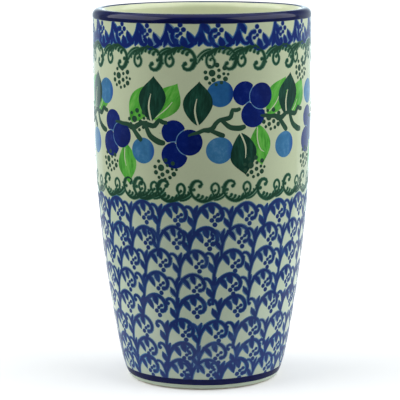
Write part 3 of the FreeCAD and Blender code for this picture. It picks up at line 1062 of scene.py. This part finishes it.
VINE_LENGTHS = (0.0, 91.0, -88.0)
TRIOS = ((-37.3, 97.4, -11.0, 1.0), (-8.6, 95.2, 0.0, 1.0), (19.3, 110.2, 23.0, 1.0))
TWIGS = ((-35.5, 101.8, 0.0, 1.0), (-4.2, 98.4, 25.0, 0.91), (23.5, 104.7, 0.0, 1.0))
SKY = ((-23.2, 92.0, 0.0, 1.0), (6.3, 92.6, 0.0, 1.02), (34.3, 93.2, 0.0, 1.02))
DEEP_SKY = ((6.6, 113.3, 0.0, 1.0),)
DARK_LEAVES = ((-19.4, 103.0, -4.0, 1.03), (-1.6, 101.8, -2.0, 1.0), (35.3, 103.7, -8.0, 1.0),
               (14.1, 98.8, 188.5, 0.98))
LIGHT_LEAVES = ((-27.9, 102.2, -30.0, 1.04), (-17.9, 103.4, -33.0, 1.0), (25.8, 104.6, -33.0, 1.0),
                (38.0, 104.3, -33.0, 0.92), (-31.4, 94.2, 184.0, 0.92), (21.4, 101.4, 187.0, 0.93))
LOW_SEEDS = ((-42.4, 87.3, 2.0, 1.0), (-15.7, 86.0, 0.0, 1.0), (18.4, 86.6, -4.0, 1.0))
MID_SEEDS = ((-26.7, 103.5, 10.0, 1.0), (26.1, 103.9, -8.0, 1.0))
VEINS_PLACE = ((0.0, 100.0, 0.0, 1.0),)

# These lie between the lengths, and are placed all the way round.
LEAD_SKY = ((-43.0, 112.8, 0.0, 1.0), (53.0, 111.5, 0.0, 0.97), (128.0, 112.2, 0.0, 1.0))
TOP_SEEDS = ((-34.6, 119.0, -4.0, 1.0), (3.6, 120.9, 0.0, 1.0), (44.0, 120.8, -4.0, 1.0),
             (81.0, 119.6, 5.0, 1.0), (118.0, 120.6, -6.0, 1.0), (155.0, 119.4, 3.0, 1.0),
             (191.0, 120.4, -2.0, 1.0))

# Thin lines of bare cream: (across, up, half width), a dark leaf's on its own axis, a light leaf's about the
# middle of the vine.
DARK_VEIN = ((0.05, 0.2, 0.34), (-0.75, 2.6, 0.36), (-1.25, 5.0, 0.34), (-1.15, 7.4, 0.27),
             (-0.7, 9.7, 0.14))
LIGHT_VEINS = (((-17.5, 4.5, 0.2), (-15.2, 6.2, 0.2), (-13.0, 8.0, 0.2), (-11.0, 10.3, 0.12)),
               ((26.3, 6.2, 0.2), (28.5, 8.0, 0.22), (30.2, 10.0, 0.2), (31.2, 12.0, 0.12)),
               ((38.7, 5.4, 0.2), (40.5, 7.0, 0.2), (42.0, 9.3, 0.12)),
               ((-31.8, -7.7, 0.2), (-32.1, -10.0, 0.24), (-32.0, -12.0, 0.22), (-31.4, -14.3, 0.12)),
               ((21.0, 0.5, 0.2), (20.9, -2.5, 0.24), (21.4, -5.5, 0.22), (22.7, -8.0, 0.18),
                (24.0, -8.7, 0.12)))


def along_vine(places):
    """Repeat places for each length of the vine."""
    return np.concatenate([np.array(places) + [start, 0.0, 0.0, 0.0] for start in VINE_LENGTHS])


class MUG_OT_vine(bpy.types.Operator):
    """Paint the berry vine: leaves, berries, twigs and seed heads"""
    bl_idname = "mug.vine"
    bl_label = "Berry vine"

    def execute(self, context):
        c = context.scene.mug_colours
        random = np.random.default_rng(SEED + 2)
        light_shape = leaf(16.4, 5.0, 5.4)
        dark_shape = leaf(16.2, 5.8, 5.3)
        light = leaf_finish("light_leaf_green", c.leaf, c.leaf_streak, darker(c.leaf, 0.55), 0.25)
        dark = leaf_finish("dark_leaf_green", c.pine, darker(c.pine, 1.9), darker(c.pine, 0.65), 0.18)
        light_places = along_vine(LIGHT_LEAVES)
        dark_places = along_vine(DARK_LEAVES)
        print_on_wall("light_leaves", light_shape, light_places, light, 0.1, random)
        print_on_wall("dark_leaves", dark_shape, dark_places, dark, 0.9, random)
        resist = cream_finish("unpainted_vein", 0.3)
        vein = stroke(DARK_VEIN, 10, True)
        print_on_wall("dark_leaf_veins", vein, dark_places, resist, 1.5, random)
        veins = join([stroke(points, 8, True) for points in LIGHT_VEINS])
        print_on_wall("light_leaf_veins", veins, along_vine(VEINS_PLACE), resist, 0.6, random)
        berry = disc(4.9, 44, BERRY_RINGS, wave=0.012)
        sky_places = np.concatenate([along_vine(SKY), LEAD_SKY])
        sky = berry_finish("sky_blue_berry", c.sky, c.sky_edge, c.sky_dab, 0.75)
        print_on_wall("sky_berries", berry, sky_places, sky, 0.5, random)
        deep = berry_finish("deep_sky_berry", c.deep_sky, c.sky, c.deep_sky_dab, 0.85)
        print_on_wall("deep_sky_berries", berry, along_vine(DEEP_SKY), deep, 0.5, random)
        cobalt = berry_finish("cobalt_berry", c.berry, c.berry_edge, c.berry_dab, 0.4)
        under = ((3.8, 0.4, 4.5), (-1.8, -4.4, 4.6), (-2.1, 4.1, 4.2))
        wash = join([moved(disc(radius, 24), across, up) for across, up, radius in under])
        pale = stamped_finish("berry_wash", c.wash, c.wash_edge, 0.2, 1.2)
        print_on_wall("berry_wash", wash, along_vine(TRIOS), pale, 0.6, random)
        print_on_wall("cobalt_berries", trio_stamp(), along_vine(TRIOS), cobalt, 1.3, random)
        green = stamped_finish("brushed_twig_green", c.twig, c.twig_edge, 0.2, 1.6)
        print_on_wall("twigs", twig_stamp(), along_vine(TWIGS), green, 2.0, random)
        seeds = np.concatenate([along_vine(LOW_SEEDS), along_vine(MID_SEEDS), TOP_SEEDS])
        print_on_wall("seed_heads", seed_stamp(), seeds, green, 2.4, random)
        return {"FINISHED"}


# ---------------------------------------------------------------- stage

def aim(thing, target):
    """Turn an object at its place so that its -Z axis points at a target."""
    back = thing.location - target
    thing.rotation_euler = back.to_track_quat("Z", "Y").to_euler()


def softbox(name, place, target, width, tall, power):
    """A rectangular white studio light."""
    lamp = bpy.data.lights.new(name, "AREA")
    lamp.shape = "RECTANGLE"
    lamp.size = width
    lamp.size_y = tall
    lamp.energy = power
    thing = bpy.data.objects.new(name, lamp)
    thing.location = place
    bpy.context.scene.collection.objects.link(thing)
    aim(thing, Vector(target))


class MUG_OT_stage(bpy.types.Operator):
    """Set the pale floor, the soft lights, the surroundings and the camera"""
    bl_idname = "mug.stage"
    bl_label = "Stage"

    def execute(self, context):
        scene = context.scene
        scene.view_settings.view_transform = "Standard"
        self.floor()
        self.surroundings(scene)
        softbox("top_light", (0.0, 0.15, 1.0), (0.0, 0.10, 0.0), 1.6, 1.3, 6.0)
        softbox("left_light", (-0.95, -0.12, 0.64), (0.0, 0.0, 0.07), 1.5, 1.0, 12.7)
        softbox("right_light", (0.92, -0.20, 0.64), (0.0, 0.0, 0.07), 1.7, 1.0, 13.0)
        self.camera(scene)
        return {"FINISHED"}

    def floor(self):
        """A plain pale sheet, wide behind the mug and partly seen through."""
        mesh = bpy.data.meshes.new("floor")
        mesh.from_pydata([(-0.10, -0.062, 0.0), (0.10, -0.062, 0.0), (0.125, 0.035, 0.0), (0.45, 0.30, 0.0),
                          (-0.36, 0.30, 0.0), (-0.12, 0.075, 0.0)], [], [tuple(range(6))])
        material = bpy.data.materials.new("pale_floor")
        material.use_nodes = True
        inputs = material.node_tree.nodes["Principled BSDF"].inputs
        inputs["Base Color"].default_value = (0.9, 0.9, 0.9, 1.0)
        inputs["Roughness"].default_value = 0.7
        inputs["Specular IOR Level"].default_value = 0.0
        inputs["Alpha"].default_value = 0.8
        mesh.materials.append(material)
        floor = bpy.data.objects.new("floor", mesh)
        bpy.context.scene.collection.objects.link(floor)

    def surroundings(self, scene):
        """White where it is looked at; a ring of light and dark for what falls on the mug."""
        world = bpy.data.worlds.new("studio")
        world.use_nodes = True
        brightest = 2.6             # colours are held at one, so the ring is scaled by its brightest light
        studio = Nodes(world.node_tree)
        towards = studio.node("ShaderNodeTexCoord").outputs["Generated"]
        parts = studio.node("ShaderNodeSeparateXYZ", Vector=towards).outputs
        around = studio.sum(parts["X"], parts["Y"], "ARCTAN2")
        turn = studio.span(around, -math.pi, math.pi, how="LINEAR")

        def ring(stops):
            """Light by direction round the mug: 0 and 1 are in front, 0.25 left, 0.5 behind, 0.75 right."""
            tinted = [(place, (0.84 * light / brightest, light / brightest, 1.06 * light / brightest, 1.0))
                      for place, light in stops]
            return studio.ramp(turn, tinted)

        walls = ring(((0.0, 0.04), (0.12, 0.06), (0.26, 0.22), (0.376, 0.30), (0.384, 0.80), (0.45, 0.95),
                      (0.50, 2.4), (0.55, 0.95), (0.654, 0.80), (0.662, 0.35), (0.76, 0.30), (0.88, 0.08)))
        roof = ring(((0.0, 0.04), (0.10, 0.05), (0.16, 0.35), (0.34, 0.35), (0.42, 0.16), (0.58, 0.16),
                     (0.68, 0.38), (0.88, 0.38), (0.95, 0.05)))
        height = studio.span(parts["Z"], 0.05, 0.45, how="LINEAR")
        fill = world.node_tree.nodes["Background"]
        studio.feed(fill.inputs["Color"], studio.blend(height, walls, roof))
        studio.feed(fill.inputs["Strength"], brightest)
        white = studio.node("ShaderNodeBackground", Color=(1.0, 1.0, 1.0, 1.0), Strength=1.22)
        seen = studio.node("ShaderNodeLightPath").outputs["Is Camera Ray"]
        mix = studio.node("ShaderNodeMixShader", _0=seen, _1=fill.outputs[0], _2=white.outputs[0])
        studio.feed(world.node_tree.nodes["World Output"].inputs["Surface"], mix.outputs[0])
        scene.world = world

    def camera(self, scene):
        """A long lens a little above the lip, looking slightly down, turned a hair off square."""
        lens = bpy.data.cameras.new("camera")
        lens.sensor_width = 36.0
        lens.lens = 191.6
        lens.clip_start = 0.05
        eye = bpy.data.objects.new("camera", lens)
        pitch = Matrix.Rotation(math.radians(90.0 - 8.79), 4, "X")
        yaw = Matrix.Rotation(math.radians(0.075), 4, "Z")
        roll = Matrix.Rotation(math.radians(-0.30), 4, "Z")
        eye.matrix_world = Matrix.Translation((0.0, -0.8093, 0.19325)) @ yaw @ pitch @ roll
        scene.collection.objects.link(eye)
        scene.camera = eye


class MUG_PT_panel(bpy.types.Panel):
    """Lists the steps that build the mug"""
    bl_idname = "MUG_PT_panel"
    bl_label = "Stamped Stoneware Mug"
    bl_space_type = "VIEW_3D"
    bl_region_type = "UI"
    bl_category = "Mug"

    def draw(self, context):
        layout = self.layout
        for group in ("mug_sizes", "mug_colours", "mug_pattern"):
            box = layout.box()
            properties = getattr(context.scene, group)
            for name in properties.__annotations__:
                box.prop(properties, name)
        for step in STEPS:
            layout.operator(step.bl_idname)


STEPS = (MUG_OT_body, MUG_OT_coats, MUG_OT_bands, MUG_OT_rows, MUG_OT_vine, MUG_OT_stage)
CLASSES = (MugSizes, MugColours, MugPattern, *STEPS, MUG_PT_panel)


def register():
    for item in CLASSES:
        bpy.utils.register_class(item)
    bpy.types.Scene.mug_sizes = PointerProperty(type=MugSizes)
    bpy.types.Scene.mug_colours = PointerProperty(type=MugColours)
    bpy.types.Scene.mug_pattern = PointerProperty(type=MugPattern)


def unregister():
    del bpy.types.Scene.mug_pattern
    del bpy.types.Scene.mug_colours
    del bpy.types.Scene.mug_sizes
    for item in reversed(CLASSES):
        bpy.utils.unregister_class(item)


def main():
    register()
    bpy.ops.mug.body()
    bpy.ops.mug.coats()
    bpy.ops.mug.bands()
    bpy.ops.mug.rows()
    bpy.ops.mug.vine()
    bpy.ops.mug.stage()


if __name__ == "__main__":
    main()
